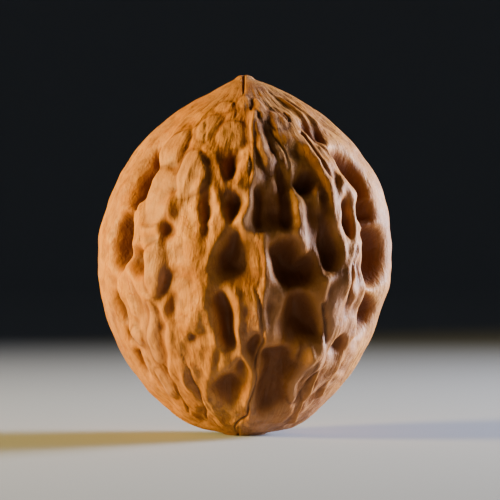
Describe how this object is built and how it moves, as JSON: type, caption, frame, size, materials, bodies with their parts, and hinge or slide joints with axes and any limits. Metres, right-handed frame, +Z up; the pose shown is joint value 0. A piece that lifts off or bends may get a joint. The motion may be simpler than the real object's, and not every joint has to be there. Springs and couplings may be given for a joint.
{
  "type": "walnut",
  "caption": "Whole walnut in its shell: a wrinkled, pitted egg shape with a raised seam on both sides, a short pointed tip and a small flat base to stand on.",
  "frame": {"origin": "centre of the small flat base, on the surface the walnut stands on", "axes": "+Z up through the pointed tip, +X along the width across the two raised seams, +Y through the two faces, with -Y the face seen from the front"},
  "size_m": [0.0344, 0.0329, 0.042],
  "materials": {
    "shell": "dry, slightly waxy satin shell, tan with darker brown hollows"
  },
  "bodies": {
    "root": {"walnut_shell": "shell"}
  },
  "joints": []
}
